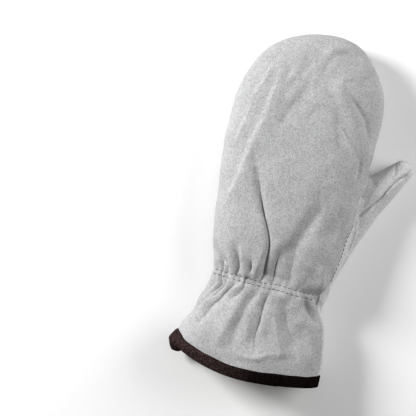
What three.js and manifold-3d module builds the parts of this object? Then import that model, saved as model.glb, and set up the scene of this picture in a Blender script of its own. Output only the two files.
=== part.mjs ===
// Work mitt of split leather with a pile lining, a gathered wrist and a bound cuff.
// It lies palm down on z = 0: the fingertip points to +Y, the thumb to +X, the back is up.
// Lengths are in millimetres, angles in radians.

import * as THREE from 'three';
import { mergeVertices } from 'three/addons/utils/BufferGeometryUtils.js';
import Module from 'manifold-3d';

const wasm = await Module();
wasm.setup();

// Overall sizes
const length = 307;
const handWidth = 128.8;
const wristWidth = 102.6;
const cuffWidth = 133.5;
const handHeight = 50;
const wristHeight = 42;
const cuffHeight = 47;
const wristLift = 3.4;

// Thumb
const thumbWidth = 40;
const thumbHeight = 26;
const thumbLift = 0.8;

// Materials
const leather = 1.5;
const pile = 4.5;
const pileAtHem = 1.7;
const thumbPile = 3;
const tape = 1.2;
const tapeWidth = 9;
const gap = 0.3;

// Folds
const foldDepth = 5;
const narrowestFold = 4.2;
const elasticDip = 1.6;
const elasticReach = 7;

// Hem: how far the cuff's edge curves up at its two sides, and how much its top waves. Under
// the little finger's side a corner of the palm hangs lower.
const hemRiseLeft = 19;
const hemRiseRight = 6;
const hemCurve = 1.8;
const cornerDrop = 8;
const cornerTurn = 1.125 * Math.PI;
const cornerSpread = 0.22;
const cuffWave = 1.5;

// The fingertip closes over the last part of the length
const tipStart = 0.765;
const tipRound = 2.1;
const tipBlunt = 2.8;
const backRound = 2.25;
const palmRound = 3;
const palmFullness = 1.15;

// Under the tape the cuff stands clear of the ground by the tape and its gap
const tapeLift = tape + 2 * gap;

// Sections of the body: place as a share of the length, middle over the hand's width, width,
// height of the back, level of the widest place as a share of it, and height of the palm
const sections = [
  [0.000, -0.025, cuffWidth, cuffHeight, 0.46, tapeLift],
  [0.062, -0.025, cuffWidth, cuffHeight, 0.46, tapeLift],
  [0.093, -0.006, 0.963 * cuffWidth, 0.98 * cuffHeight, 0.46, tapeLift / 2],
  [0.130, 0.008, 0.914 * cuffWidth, 0.96 * cuffHeight, 0.46, 0],
  [0.163, 0.022, 0.861 * cuffWidth, 0.94 * cuffHeight, 0.46, 0.12 * wristLift],
  [0.195, 0.021, 1.086 * wristWidth, 1.03 * wristHeight, 0.47, 0.6 * wristLift],
  [0.228, 0.019, 1.002 * wristWidth, wristHeight, 0.47, wristLift],
  [0.274, 0.038, 0.998 * wristWidth, wristHeight, 0.47, wristLift],
  [0.309, 0.039, 1.025 * wristWidth, 1.07 * wristHeight, 0.46, 0.6 * wristLift],
  [0.358, 0.033, 0.866 * handWidth, 0.96 * handHeight, 0.44, 0],
  [0.423, 0.031, 0.916 * handWidth, handHeight, 0.42, 0],
  [0.489, 0.033, 0.944 * handWidth, 1.01 * handHeight, 0.42, 0],
  [0.554, 0.027, 0.970 * handWidth, 1.01 * handHeight, 0.42, 0],
  [0.651, 0.025, 0.998 * handWidth, handHeight, 0.42, 0],
  [0.765, 0.035, handWidth, 0.96 * handHeight, 0.42, 0],
  [0.853, 0.049, handWidth, 0.91 * handHeight, 0.43, 0],
  [0.945, 0.058, handWidth, 0.86 * handHeight, 0.44, 0],
  [1.000, 0.101, handWidth, 0.84 * handHeight, 0.44, 0],
].map(([at, mid, width, top, side, foot]) => ({ at, mid, width, top, side, foot }));

// Centre line of the thumb, with x as a share of the hand's width and y of the length,
// wide and tall as shares of the thumb's own sizes
const thumbSections = [
  { at: 0.00, x: 0.310, y: 0.260, wide: 0.45, tall: 0.60 },
  { at: 0.20, x: 0.342, y: 0.332, wide: 0.80, tall: 0.92 },
  { at: 0.42, x: 0.388, y: 0.430, wide: 1.00, tall: 1.00 },
  { at: 0.68, x: 0.512, y: 0.547, wide: 0.95, tall: 1.00 },
  { at: 0.86, x: 0.644, y: 0.612, wide: 0.68, tall: 0.90 },
  { at: 1.00, x: 0.749, y: 0.669, wide: 0.46, tall: 0.74 },
];

// Seam between the back and the thumb's leather, as x over the hand's width
const backSeam = [
  { at: 0.000, x: 0.472 },
  { at: 0.100, x: 0.455 },
  { at: 0.180, x: 0.418 },
  { at: 0.228, x: 0.392 },
  { at: 0.260, x: 0.373 },
  { at: 0.310, x: 0.420 },
  { at: 0.400, x: 0.458 },
  { at: 0.490, x: 0.490 },
  { at: 0.570, x: 0.502 },
];

// Seam between the palm and the thumb's leather, from the cuff up to the crotch
const palmSeam = [
  { at: 0.000, x: 0.054 },
  { at: 0.160, x: 0.075 },
  { at: 0.310, x: 0.160 },
  { at: 0.430, x: 0.310 },
  { at: 0.520, x: 0.460 },
  { at: 0.570, x: 0.530 },
];

// Folds of the back and of the palm, through three places each: across from -1 at the little
// finger's side to 1 at the thumb's side, along as a share of the length. Depth is a share of
// the fold depth, less than 0 for a ridge, and width a share of the hand's width.
const backFolds = [
  { across: [-0.16, -0.14, -0.33], along: [0.261, 0.358, 0.476], depth: 1.00, width: 0.027 },
  { across: [-0.30, -0.50, -0.58], along: [0.463, 0.560, 0.638], depth: 0.70, width: 0.039 },
  { across: [-0.57, -0.41, -0.14], along: [0.625, 0.743, 0.860], depth: 0.44, width: 0.054 },
  { across: [-0.90, -0.63, -0.54], along: [0.476, 0.651, 0.834], depth: -0.56, width: 0.047 },
  { across: [0.02, 0.01, 0.33], along: [0.261, 0.365, 0.489], depth: 0.60, width: 0.047 },
  { across: [0.26, 0.39, 0.47], along: [0.463, 0.528, 0.593], depth: 0.40, width: 0.062 },
  { across: [0.35, 0.35, 0.55], along: [0.274, 0.365, 0.508], depth: -0.36, width: 0.047 },
  { across: [-0.95, -0.91, -0.93], along: [0.339, 0.280, 0.208], depth: 0.70, width: 0.023 },
  { across: [-0.83, -0.73, -0.81], along: [0.326, 0.267, 0.195], depth: 0.70, width: 0.023 },
  { across: [-0.56, -0.65, -0.85], along: [0.267, 0.228, 0.150], depth: 0.90, width: 0.023 },
  { across: [-0.48, -0.45, -0.50], along: [0.345, 0.280, 0.208], depth: 0.60, width: 0.027 },
  { across: [-0.25, -0.25, -0.39], along: [0.293, 0.235, 0.098], depth: 0.70, width: 0.035 },
  { across: [0.02, 0.01, -0.06], along: [0.287, 0.228, 0.124], depth: 0.70, width: 0.031 },
  { across: [0.23, 0.32, 0.48], along: [0.300, 0.202, 0.078], depth: 0.52, width: 0.043 },
  { across: [0.51, 0.66, 0.86], along: [0.274, 0.221, 0.195], depth: 0.80, width: 0.035 },
  { across: [0.50, 0.08, 0.03], along: [0.974, 0.935, 0.834], depth: 0.44, width: 0.031 },
  { across: [0.40, 0.61, 0.88], along: [0.837, 0.775, 0.664], depth: 0.48, width: 0.043 },
  { across: [0.18, 0.45, 0.72], along: [0.834, 0.782, 0.671], depth: -0.28, width: 0.031 },
];

const palmFolds = [
  { across: [0.72, 0.38, 0.14], along: [0.440, 0.300, 0.140], depth: 0.50, width: 0.045 },
  { across: [0.45, -0.02, -0.24], along: [0.500, 0.350, 0.180], depth: 0.44, width: 0.050 },
  { across: [-0.12, -0.45, -0.62], along: [0.420, 0.300, 0.170], depth: 0.40, width: 0.045 },
  { across: [0.78, 0.66, 0.60], along: [0.330, 0.240, 0.150], depth: 0.36, width: 0.035 },
];

// Elastic line across the back of the wrist, and the folds' fading towards the sides
const elasticAt = 0.267;
const sideFade = 0.3;

// The cuff's rise and wave end here, and the wave turns this far from the middle to a side
const cuffEnd = 0.2;
const waveTurn = 6.5;

// Level of the side seam between the foot and the widest place, and the strip of the side
// over it that belongs to the thumb's leather
const seamLevel = 0.6;
const stripHeight = 5;
const stripReach = 15;

// The lining thickens from the tape over this way, and the rims are cut square this deep
const pileRun = 16;
const rimDepth = 10;

// Grid of the surfaces: columns round the section, rows along the mitt
const backColumns = 24;
const palmColumns = 8;
const columnSpread = 0.15;
const wristLow = 0.13;
const wristHigh = 0.37;
const leatherRows = { cuff: 5, wrist: 10, hand: 7, tip: 7 };
const pileRows = { cuff: 3, wrist: 7, hand: 5, tip: 5 };
const thumbColumns = 14;
const thumbRows = 7;
const thumbTipRows = 3;
const foldSteps = 6;
const sideSteps = 24;

// Cutting blocks: how far they reach past the mitt, and how far two of them lap
const outside = 60;
const lap = 0.5;

function smooth(value) {
  const t = THREE.MathUtils.clamp(value, 0, 1);
  return t * t * (3 - 2 * t);
}

// Slope at a table's row, level where the column turns back there
function slope(before, here, after, column) {
  const coming = here[column] - before[column];
  const going = after[column] - here[column];
  const turns = before !== here && here !== after && coming * going <= 0;
  return turns ? 0 : (after[column] - before[column]) / (after.at - before.at);
}

// Value of a table's column on a smooth curve through its rows
function along(table, column, at) {
  let i = 0;
  while (i < table.length - 2 && at > table[i + 1].at) i += 1;
  const before = table[Math.max(i - 1, 0)];
  const here = table[i];
  const next = table[i + 1];
  const after = table[Math.min(i + 2, table.length - 1)];
  const step = next.at - here.at;
  const t = THREE.MathUtils.clamp((at - here.at) / step, 0, 1);
  const slopeHere = step * slope(before, here, next, column);
  const slopeNext = step * slope(here, next, after, column);
  return (2 * t ** 3 - 3 * t ** 2 + 1) * here[column] + (t ** 3 - 2 * t ** 2 + t) * slopeHere
    + (3 * t ** 2 - 2 * t ** 3) * next[column] + (t ** 3 - t ** 2) * slopeNext;
}

function power(value, exponent) {
  return Math.sign(value) * Math.abs(value) ** exponent;
}

// Each fold as a chain of short straight steps on the curve through its three places
const inSteps = (table) => table.map((fold) => {
  const points = [];
  for (let i = 0; i <= foldSteps; i += 1) {
    const t = i / foldSteps;
    const weights = [(1 - t) * (1 - 2 * t), 4 * t * (1 - t), t * (2 * t - 1)];
    const across = weights.reduce((sum, weight, k) => sum + weight * fold.across[k], 0);
    const share = weights.reduce((sum, weight, k) => sum + weight * fold.along[k], 0);
    points.push(new THREE.Vector2(across, share * length));
  }
  return { points, depth: fold.depth * foldDepth, width: Math.max(fold.width * handWidth, narrowestFold) };
});
const backSteps = inSteps(backFolds);
const palmSteps = inSteps(palmFolds);

// How far the folds push the leather in at one place
function dent(steps, across, y, half) {
  let deep = 0;
  for (const fold of steps) {
    let nearest = Infinity;
    let place = 0;
    for (let i = 0; i < foldSteps; i += 1) {
      const a = fold.points[i];
      const b = fold.points[i + 1];
      const bx = (b.x - a.x) * half;
      const by = b.y - a.y;
      const px = (across - a.x) * half;
      const py = y - a.y;
      const t = THREE.MathUtils.clamp((px * bx + py * by) / (bx * bx + by * by), 0, 1);
      const distance = Math.hypot(px - t * bx, py - t * by);
      if (distance < nearest) {
        nearest = distance;
        place = (i + t) / foldSteps;
      }
    }
    const ends = smooth(4 * Math.min(place, 1 - place) + 0.15);
    deep += fold.depth * ends * Math.exp(-((nearest / fold.width) ** 2));
  }
  return deep;
}

const tapeAt = tapeWidth / length;

// How far the leather's edge lies from the tape's lowest point
function hemRise(angle) {
  const across = Math.cos(angle);
  const side = (across < 0 ? hemRiseLeft : hemRiseRight) * Math.abs(across) ** hemCurve;
  const corner = cornerDrop * Math.exp(-(((angle - cornerTurn) / cornerSpread) ** 2));
  return tape + gap + side - corner;
}

// A point of the body. Row 0 to 1 runs from the hem to the start of the fingertip, row 1 to
// 2 over the fingertip, and layer gives how deep under the outside the point lies.
function bodyPoint(angle, row, layer) {
  const straight = Math.min(row, 1) * tipStart;
  const rise = hemRise(angle) * (1 - smooth((straight - tapeAt) / (cuffEnd - tapeAt)));
  const inset = row > 1 ? layer(Infinity) : layer(straight * length);
  const turn = Math.max(row - 1, 0) * Math.PI / 2;
  const forward = Math.sin(turn) ** (2 / tipRound);
  const narrow = row >= 2 ? 0 : Math.cos(turn) ** (2 / tipRound);
  const low = row >= 2 ? 0 : (1 - forward ** tipBlunt) ** (1 / tipBlunt);
  const y = straight * length + rise + forward * (length * (1 - tipStart) - inset);
  const at = y / length;
  const half = along(sections, 'width', at) / 2;
  const cos = Math.cos(angle);
  const sin = Math.sin(angle);
  const across = power(cos, 2 / backRound);
  const wave = cuffWave * Math.sin(waveTurn * across + 1) * (1 - smooth(at / cuffEnd));
  const top = along(sections, 'top', at) + wave;
  const side = along(sections, 'side', at) * top;
  const foot = along(sections, 'foot', at);
  let x = along(sections, 'mid', at) * handWidth + (half - inset) * narrow * across;
  let z = side;
  if (sin >= 0) {
    const elastic = elasticDip * Math.exp(-(((y - elasticAt * length) / elasticReach) ** 2));
    const folded = dent(backSteps, across * narrow, y, half) + elastic;
    const push = folded * smooth(sin / sideFade) * Math.sqrt(low);
    const steep = Math.hypot(cos / half, sin / (top - side));
    z += (top - inset - side) * low * power(sin, 2 / backRound) - push * sin / (top - side) / steep;
    x -= push * cos / half / steep;
  } else {
    const push = dent(palmSteps, across * narrow, y, half) * smooth(-sin / sideFade);
    z -= (side - foot - inset) * low * Math.min(palmFullness * power(-sin, 2 / palmRound), 1) - push;
  }
  return new THREE.Vector3(x, y, z);
}

// A point of the thumb. Row 0 to 1 follows its centre line, row 1 to 2 rounds its tip.
function thumbPoint(angle, row, inset) {
  const at = Math.min(row, 1);
  const centre = (share) => new THREE.Vector2(
    along(thumbSections, 'x', share) * handWidth,
    along(thumbSections, 'y', share) * length,
  );
  const ahead = centre(Math.min(at + 0.01, 1)).sub(centre(Math.min(at + 0.01, 1) - 0.02)).normalize();
  const wide = along(thumbSections, 'wide', at) * thumbWidth / 2 - inset;
  const tall = along(thumbSections, 'tall', at) * thumbHeight / 2 - inset;
  const turn = Math.max(row - 1, 0) * Math.PI / 2;
  const narrow = row >= 2 ? 0 : Math.cos(turn);
  const reach = wide * Math.sin(turn);
  const out = wide * narrow * Math.cos(angle);
  const middle = centre(at);
  return new THREE.Vector3(
    middle.x + ahead.x * reach + ahead.y * out,
    middle.y + ahead.y * reach - ahead.x * out,
    thumbLift + thumbHeight / 2 + tall * narrow * Math.sin(angle),
  );
}

function spread(from, to, count) {
  return Array.from({ length: count }, (_, i) => from + (to - from) * (i + 1) / count);
}

// Angles of the columns, closer together over the middle of the back
function columns() {
  const over = spread(0, 1, backColumns)
    .map((t) => Math.PI * t + columnSpread * Math.sin(2 * Math.PI * t));
  const under = spread(Math.PI, 2 * Math.PI, palmColumns);
  return [...over, ...under];
}

const angles = columns();

// Rows of the body from the hem to just before the fingertip's pole
function bodyRows(count) {
  const shares = [0, tapeAt, ...spread(tapeAt, wristLow, count.cuff),
    ...spread(wristLow, wristHigh, count.wrist), ...spread(wristHigh, tipStart, count.hand)];
  return [...shares.map((at) => at / tipStart), ...spread(1, 2, count.tip).slice(0, -1)];
}

// Closed surface through rings of points, with a point before the first ring and one after
// the last, unless the rings close on themselves. Each four-sided face is split from its lower
// corner in one column to its upper corner in the next, so that layers split alike.
function closed(rings, first, last) {
  const count = rings[0].length;
  const positions = [...rings.flat(), first, last].filter(Boolean).flatMap((p) => [p.x, p.y, p.z]);
  const index = [];
  const loops = first ? rings.length - 1 : rings.length;
  for (let r = 0; r < loops; r += 1) {
    const next = (r + 1) % rings.length;
    for (let c = 0; c < count; c += 1) {
      const right = (c + 1) % count;
      const a = r * count + c;
      const b = r * count + right;
      const d = next * count + c;
      const e = next * count + right;
      const climbs = rings[next][c].y >= rings[r][c].y;
      index.push(...(climbs ? [a, e, b, a, d, e] : [a, d, b, b, d, e]));
    }
  }
  if (first) {
    const start = rings.length * count;
    const end = (rings.length - 1) * count;
    for (let c = 0; c < count; c += 1) {
      const right = (c + 1) % count;
      index.push(start, c, right);
      index.push(start + 1, end + right, end + c);
    }
  }
  const geometry = new THREE.BufferGeometry();
  geometry.setAttribute('position', new THREE.Float32BufferAttribute(positions, 3));
  geometry.setIndex(index);
  return geometry;
}

function solid(geometry) {
  const bare = new THREE.BufferGeometry();
  bare.setAttribute('position', geometry.getAttribute('position').clone());
  bare.setIndex(geometry.getIndex());
  const merged = mergeVertices(bare, 1e-5);
  return new wasm.Manifold(new wasm.Mesh({
    numProp: 3,
    vertProperties: new Float32Array(merged.getAttribute('position').array),
    triVerts: new Uint32Array(merged.getIndex().array),
  }));
}

function middle(ring) {
  return ring.reduce((sum, p) => sum.add(p), new THREE.Vector3()).divideScalar(ring.length);
}

// Solid inside one layer of the body. An outside starts on the hem, with its rim level with
// it, and a hollow starts the given way before the hem.
function bodySolid(layer, rows, before) {
  const rings = rows.map((row) => angles.map((angle) => bodyPoint(angle, row, layer)));
  const start = before > 0
    ? rings[0].map((p) => new THREE.Vector3(p.x, p.y - before, p.z))
    : angles.map((angle) => bodyPoint(angle, 0, () => layer(0) + rimDepth));
  rings.unshift(start);
  return solid(closed(rings, middle(start), bodyPoint(0, 2, layer)));
}

function thumbSolid(inset) {
  const angles = spread(0, 2 * Math.PI, thumbColumns);
  const rows = [0, ...spread(0, 1, thumbRows), ...spread(1, 2, thumbTipRows).slice(0, -1)];
  const rings = rows.map((row) => angles.map((angle) => thumbPoint(angle, row, inset)));
  return solid(closed(rings, middle(rings[0]), thumbPoint(0, 2, inset)));
}

// Upright block inside an outline given in x and y
function upright(outline) {
  const shape = new THREE.Shape(outline.map(([x, y]) => new THREE.Vector2(x, y)));
  const block = new THREE.ExtrudeGeometry(shape, { depth: 4 * handHeight, bevelEnabled: false });
  block.translate(0, 0, -handHeight);
  return solid(mergeVertices(block));
}

// Block over or under the side seam's line, lifted by a given height
function level(lift, over) {
  const line = [0, ...spread(0, 1, sideSteps)].map((at) => {
    const top = along(sections, 'top', at);
    const foot = along(sections, 'foot', at);
    const z = THREE.MathUtils.lerp(foot, along(sections, 'side', at) * top, seamLevel) + lift;
    return new THREE.Vector2(at * length, z);
  });
  const far = over ? 4 * handHeight : -handHeight;
  const shape = new THREE.Shape([
    new THREE.Vector2(-outside, far),
    new THREE.Vector2(-outside, line[0].y),
    ...line,
    new THREE.Vector2(length + outside, line[sideSteps].y),
    new THREE.Vector2(length + outside, far),
  ]);
  const block = new THREE.ExtrudeGeometry(shape, { depth: 4 * handWidth, bevelEnabled: false });
  block.applyMatrix4(new THREE.Matrix4().makeBasis(
    new THREE.Vector3(0, 1, 0), new THREE.Vector3(0, 0, 1), new THREE.Vector3(1, 0, 0)));
  block.translate(-2 * handWidth, 0, 0);
  return solid(mergeVertices(block));
}

// Zone of the thumb's leather on the body: beyond the back seam above the side line, all of
// a low strip of the side, and beyond the palm seam under it, up to the crotch
function wing(grow) {
  const beyond = (table, inward) => {
    const seam = spread(0, 1, 20).map((t) => t * table[table.length - 1].at);
    const line = [0, ...seam].map((at) => [along(table, 'x', at) * handWidth - inward, at * length]);
    const end = line[line.length - 1][1] + grow;
    line[0][1] = -outside;
    line[line.length - 1][1] = end;
    return upright([...line, [2 * handWidth, end], [2 * handWidth, -outside]]);
  };
  const over = level(-lap, true);
  const upper = beyond(backSeam, grow).intersect(over);
  const strip = beyond(backSeam, stripReach).intersect(over).intersect(level(stripHeight + grow, false));
  const lower = beyond(palmSeam, grow).intersect(level(grow / 2, false));
  return upper.add(strip).add(lower);
}

const fineRows = bodyRows(leatherRows);
const innerRows = bodyRows(pileRows);

// Pile lining: thin where the tape holds it, full a little way in
const liningOut = leather + gap;
const pileLayer = (fromHem) => liningOut + THREE.MathUtils.lerp(
  pileAtHem, pile, smooth((fromHem - tapeWidth - gap) / pileRun));

const bodyOutside = bodySolid(() => 0, fineRows, 0);
const shell = bodyOutside.add(thumbSolid(0))
  .subtract(bodySolid(() => leather, fineRows, outside).add(thumbSolid(leather)));
const body = shell.intersect(bodyOutside).subtract(wing(gap));
const back = body.intersect(level(gap, true));
const palm = body.intersect(level(0, false));
const grown = bodySolid(() => -gap, fineRows, outside);
const thumb = shell.subtract(grown).add(shell.intersect(wing(0)));
const lining = bodySolid(() => liningOut, fineRows, 0).add(thumbSolid(liningOut))
  .subtract(bodySolid(pileLayer, innerRows, outside).add(thumbSolid(liningOut + thumbPile)));

// Tape folded round the hem: its section goes down the outside, round the hem and up inside
const tapeInside = liningOut + pileAtHem + gap;
const tapeSection = [
  { inset: -gap, edge: tapeWidth },
  { inset: -gap, edge: 0 },
  { inset: -gap, edge: -gap },
  { inset: tapeInside, edge: -gap },
  { inset: tapeInside, edge: 0 },
  { inset: tapeInside, edge: tapeWidth },
  { inset: tapeInside + tape, edge: tapeWidth },
  { inset: tapeInside + tape, edge: 0 },
  { inset: tapeInside + 0.2 * tape, edge: -gap - tape },
  { inset: -0.2 * tape, edge: -gap - tape },
  { inset: -gap - tape, edge: 0 },
  { inset: -gap - tape, edge: tapeWidth },
];
const tapeRings = tapeSection.map(({ inset, edge }) => angles.map((angle) => {
  const point = bodyPoint(angle, Math.max(edge, 0) / length / tipStart, () => inset);
  point.y += Math.min(edge, 0);
  return point;
}));

const suede = { color: '#b4b4b2', roughness: 0.95, metalness: 0 };
const darkSuede = { color: '#33282a', roughness: 0.95, metalness: 0 };
const fleece = { color: '#e9e5d2', roughness: 1, metalness: 0 };

function piece(name, shape, look) {
  const made = shape.getMesh();
  const geometry = new THREE.BufferGeometry();
  geometry.setAttribute('position', new THREE.BufferAttribute(made.vertProperties, 3));
  geometry.setIndex(new THREE.BufferAttribute(made.triVerts, 1));
  geometry.computeVertexNormals();
  const mesh = new THREE.Mesh(geometry, new THREE.MeshStandardMaterial(look));
  mesh.name = name;
  return mesh;
}

const group = new THREE.Group();
group.add(
  piece('back_panel', back, suede),
  piece('palm_panel', palm, suede),
  piece('thumb_panel', thumb, suede),
  piece('edge_binding', solid(closed(tapeRings)), darkSuede),
  piece('pile_lining', lining, fleece),
);

// Origin under the middle of the whole mitt, on the ground
const box = new THREE.Box3().setFromObject(group);
const centre = box.getCenter(new THREE.Vector3());
group.position.set(-centre.x, -centre.y, -box.min.z);
group.updateMatrixWorld(true);

export default group;
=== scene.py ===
import math

import bmesh
import bpy
import numpy as np
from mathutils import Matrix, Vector
from mathutils.bvhtree import BVHTree
from mathutils.kdtree import KDTree


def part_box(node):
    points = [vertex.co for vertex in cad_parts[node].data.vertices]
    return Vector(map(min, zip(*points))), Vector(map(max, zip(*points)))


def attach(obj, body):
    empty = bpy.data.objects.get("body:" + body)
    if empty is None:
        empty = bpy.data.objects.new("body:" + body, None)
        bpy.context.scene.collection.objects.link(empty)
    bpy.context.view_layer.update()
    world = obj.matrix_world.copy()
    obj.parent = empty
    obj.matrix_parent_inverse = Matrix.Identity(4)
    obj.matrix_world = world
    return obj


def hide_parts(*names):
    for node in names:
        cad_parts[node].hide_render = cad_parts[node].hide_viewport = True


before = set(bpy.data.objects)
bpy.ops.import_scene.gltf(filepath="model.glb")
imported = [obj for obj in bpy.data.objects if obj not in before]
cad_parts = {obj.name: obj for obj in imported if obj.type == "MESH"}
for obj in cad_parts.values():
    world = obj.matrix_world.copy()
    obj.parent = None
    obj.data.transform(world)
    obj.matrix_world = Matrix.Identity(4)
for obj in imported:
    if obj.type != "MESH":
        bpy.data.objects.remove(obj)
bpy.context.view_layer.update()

# Sizes of the mitt in millimetres
LENGTH = 307.0
HAND_WIDTH = 128.8
WRIST_WIDTH = 102.6
CUFF_WIDTH = 133.5
HAND_HEIGHT = 50.0
WRIST_HEIGHT = 42.0
CUFF_HEIGHT = 47.0
WRIST_LIFT = 3.4
THUMB_WIDTH = 40.0
THUMB_HEIGHT = 26.0
THUMB_LIFT = 0.8
LEATHER = 1.5
PILE = 4.5
PILE_AT_HEM = 1.7
THUMB_PILE = 3.0
TAPE = 1.2
TAPE_WIDTH = 9.0
GAP = 0.3
HEM_RISE_LEFT = 19.0
HEM_RISE_RIGHT = 6.0
HEM_CURVE = 1.8
CORNER_DROP = 8.0
CORNER_TURN = 1.125 * math.pi
CORNER_SPREAD = 0.22
CUFF_WAVE = 1.5
WAVE_TURN = 6.5
CUFF_END = 0.2
TIP_START = 0.765
TIP_ROUND = 2.1
TIP_BLUNT = 2.8
BACK_ROUND = 2.25
PALM_ROUND = 3.0
PALM_PRESS = 1.15
TAPE_LIFT = TAPE + 2 * GAP
TAPE_AT = TAPE_WIDTH / LENGTH
SEAM_LEVEL = 0.6
STRIP_HEIGHT = 5.0
STRIP_REACH = 15.0
CROTCH_AT = 0.57

# Fineness of the meshes: sizes of squares and steps, numbers of columns, and the runs that are
# cut into steps. The skin starts a bit before the hem and is cut there.
VOXEL = 1.2
LINING_VOXEL = 1.5
SKIN_STEP = 1.6
LINING_STEP = 2.2
BODY_COLUMNS = 260
THUMB_COLUMNS = 90
LINING_COLUMNS = 200
THUMB_LINING_COLUMNS = 50
TAPE_COLUMNS = 700
BEFORE_HEM = 12
TIP_RUN = 90
THUMB_RUN = 150
THUMB_TIP_RUN = 16

# Thickness of the walls
LEATHER_WALL = 1.2
PILE_WALL = 1.6


def table(columns, rows):
    """A table as a dictionary of its columns."""
    return dict(zip(columns.split(), np.array(rows, float).T))


SECTIONS = table("at mid width top side foot", [
    (0.000, -0.025, 1.000 * CUFF_WIDTH, 1.00 * CUFF_HEIGHT, 0.46, TAPE_LIFT),
    (0.062, -0.025, 1.000 * CUFF_WIDTH, 1.00 * CUFF_HEIGHT, 0.46, TAPE_LIFT),
    (0.093, -0.006, 0.963 * CUFF_WIDTH, 0.98 * CUFF_HEIGHT, 0.46, TAPE_LIFT / 2),
    (0.130, 0.008, 0.914 * CUFF_WIDTH, 0.96 * CUFF_HEIGHT, 0.46, 0),
    (0.163, 0.022, 0.861 * CUFF_WIDTH, 0.94 * CUFF_HEIGHT, 0.46, 0.12 * WRIST_LIFT),
    (0.195, 0.021, 1.086 * WRIST_WIDTH, 1.03 * WRIST_HEIGHT, 0.47, 0.6 * WRIST_LIFT),
    (0.228, 0.019, 1.002 * WRIST_WIDTH, 1.00 * WRIST_HEIGHT, 0.47, WRIST_LIFT),
    (0.274, 0.038, 0.998 * WRIST_WIDTH, 1.00 * WRIST_HEIGHT, 0.47, WRIST_LIFT),
    (0.309, 0.039, 1.025 * WRIST_WIDTH, 1.07 * WRIST_HEIGHT, 0.46, 0.6 * WRIST_LIFT),
    (0.358, 0.033, 0.866 * HAND_WIDTH, 0.96 * HAND_HEIGHT, 0.44, 0),
    (0.423, 0.031, 0.916 * HAND_WIDTH, 1.00 * HAND_HEIGHT, 0.42, 0),
    (0.489, 0.033, 0.944 * HAND_WIDTH, 1.01 * HAND_HEIGHT, 0.42, 0),
    (0.554, 0.027, 0.970 * HAND_WIDTH, 1.01 * HAND_HEIGHT, 0.42, 0),
    (0.651, 0.025, 0.998 * HAND_WIDTH, 1.00 * HAND_HEIGHT, 0.42, 0),
    (0.765, 0.035, 1.000 * HAND_WIDTH, 0.96 * HAND_HEIGHT, 0.42, 0),
    (0.853, 0.049, 1.000 * HAND_WIDTH, 0.91 * HAND_HEIGHT, 0.43, 0),
    (0.945, 0.058, 1.000 * HAND_WIDTH, 0.86 * HAND_HEIGHT, 0.44, 0),
    (1.000, 0.101, 1.000 * HAND_WIDTH, 0.84 * HAND_HEIGHT, 0.44, 0),
])

THUMB_SECTIONS = table("at x y wide tall", [
    (0.00, 0.310, 0.260, 0.45, 0.60),
    (0.20, 0.342, 0.332, 0.80, 0.92),
    (0.42, 0.388, 0.430, 1.00, 1.00),
    (0.68, 0.512, 0.547, 0.95, 1.00),
    (0.86, 0.644, 0.612, 0.68, 0.90),
    (1.00, 0.749, 0.669, 0.46, 0.74),
])

# Seams beside the thumb's leather, as x over the hand's width
BACK_SEAM = table("at x", [
    (0.000, 0.486), (0.068, 0.487), (0.136, 0.468), (0.185, 0.440), (0.228, 0.402), (0.269, 0.379),
    (0.301, 0.413), (0.339, 0.438), (0.410, 0.462), (0.443, 0.468), (0.492, 0.492), (0.540, 0.497),
    (CROTCH_AT, 0.499), (0.612, 0.506), (0.660, 0.507), (0.696, 0.504),
])
SIDE_SEAM_END = 0.69
PALM_SEAM = table("at x", [
    (0.000, 0.054), (0.160, 0.075), (0.310, 0.160), (0.430, 0.310), (0.520, 0.460), (CROTCH_AT, 0.530),
])

# The thumb's own seam, from near its tip to the crotch, in millimetres
THUMB_SEAM = [(106, 211), (103, 207), (98, 200.5), (94, 197), (91, 193), (88, 189), (85, 184), (83.5, 180),
              (80, 175), (75, 169), (70, 163), (66.5, 158)]

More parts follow.
